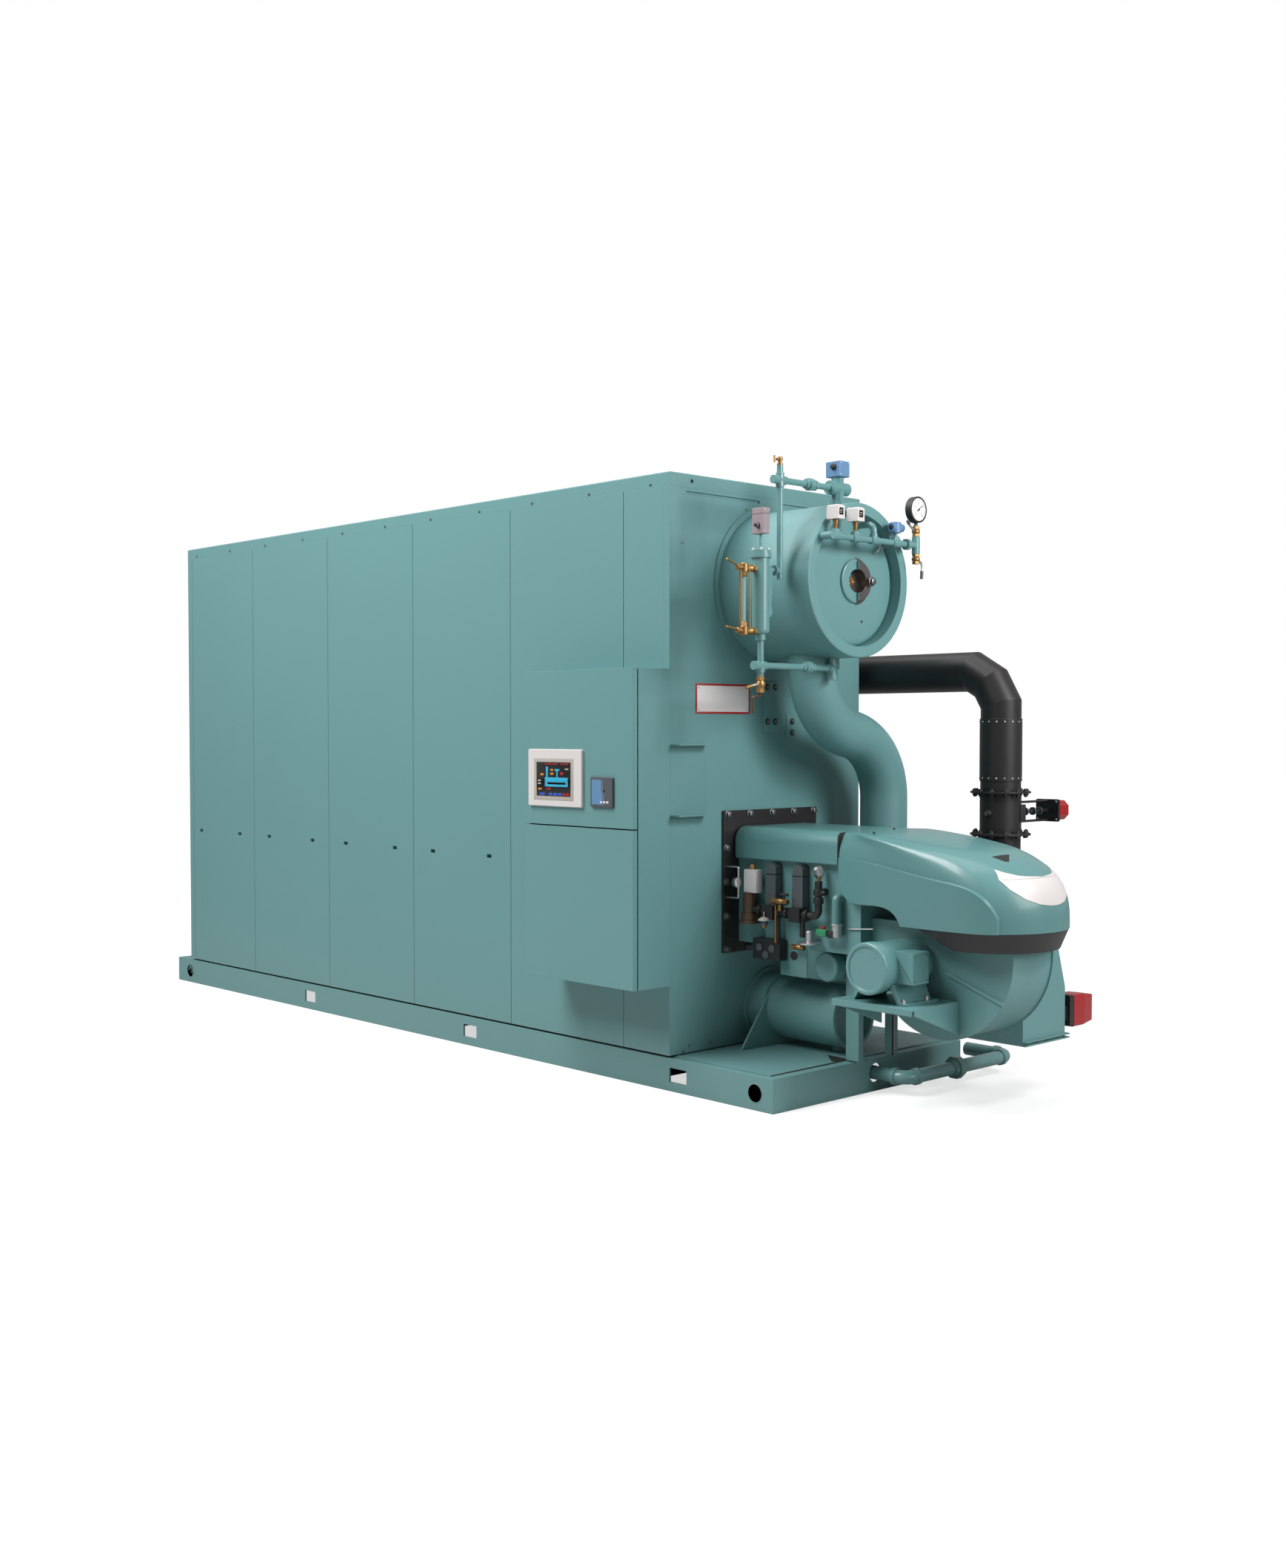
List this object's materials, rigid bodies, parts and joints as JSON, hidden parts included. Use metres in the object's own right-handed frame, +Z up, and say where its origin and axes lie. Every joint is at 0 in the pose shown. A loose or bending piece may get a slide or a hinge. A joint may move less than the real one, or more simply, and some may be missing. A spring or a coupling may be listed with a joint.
{
  "type": "industrial hot-water boiler",
  "caption": "Packaged water-tube hot-water boiler: insulated casing on a skid, upper and lower drums, forced-draught gas burner, flue-gas duct and a wall cabinet with hinged doors.",
  "frame": {"origin": "middle of the skid's footprint, on the floor it rests on", "axes": "+Z up, +Y to the rear of the boiler, +X to the right seen from the burner end"},
  "size_m": [2.1405, 5.9724, 2.7403],
  "materials": {
    "black_paint": "satin",
    "blue_plastic": "gloss",
    "brass": "worn",
    "dark_band": "satin",
    "grey_plastic": "satin",
    "red_plastic": "gloss",
    "seal": "matt",
    "steel": "brushed",
    "teal_hood": "gloss enamel",
    "teal_paint": "satin enamel",
    "white_plastic": "satin"
  },
  "bodies": {
    "boiler": {"base_seal": "seal", "burner_hood": "teal_hood", "burner_housing": "teal_paint", "burner_nose": "teal_hood", "burner_plate": "black_paint", "burner_posts": "teal_paint", "cabinet_box": "teal_paint", "cabinet_bracket": "teal_paint", "column_piping": "teal_paint", "column_switch": "grey_plastic", "deck_plate": "teal_paint", "downcomer": "teal_paint", "drain_loop": "teal_paint", "drum_head": "teal_paint", "drum_ring": "teal_paint", "fan_motor": "teal_paint", "fan_scroll": "teal_paint", "flue_actuator": "black_paint", "flue_actuator_cap": "red_plastic", "flue_collar": "teal_paint", "flue_damper": "black_paint", "flue_drop": "teal_paint", "flue_duct": "black_paint", "flue_elbow": "black_paint", "front_wall": "teal_paint", "furnace_block": "teal_paint", "gas_actuators": "grey_plastic", "gas_header": "teal_paint", "gas_train": "black_paint", "gas_valves": "brass", "gauge_glass": "brass", "intake_actuator": "black_paint", "intake_actuator_cap": "red_plastic", "intake_box": "teal_paint", "left_corner_strips": "teal_paint", "left_panels": "teal_paint", "left_skid_channel": "teal_paint", "level_switch": "blue_plastic", "lower_drum": "teal_paint", "motor_shelf": "teal_paint", "nose_band": "dark_band", "pressure_gauge": "steel", "pressure_manifold": "teal_paint", "pressure_switches": "white_plastic", "rear_door": "teal_paint", "rear_wall": "teal_paint", "return_nozzle": "teal_paint", "right_corner_strips": "teal_paint", "right_panels": "teal_paint", "right_skid_channel": "teal_paint", "roof_cover": "teal_paint", "skid_cross_members": "teal_paint", "supply_nozzle": "teal_paint", "upper_drum": "teal_paint", "vent_pipe": "teal_paint", "water_column": "teal_paint"},
    "lower_door": {"cabinet_door_lower": "teal_paint"},
    "upper_door": {"cabinet_door_upper": "teal_paint", "touch_screen": "white_plastic", "flame_controller": "grey_plastic"}
  },
  "joints": [
    {"name": "lower_door_hinge", "type": "hinge", "parent": "boiler", "child": "lower_door", "pos_m": [-0.8295, -1.191, 0.8], "axis": [0, 0, -1], "range_deg": [0, 120]},
    {"name": "upper_door_hinge", "type": "hinge", "parent": "boiler", "child": "upper_door", "pos_m": [-0.8295, -1.191, 1.487], "axis": [0, 0, -1], "range_deg": [0, 120]}
  ]
}
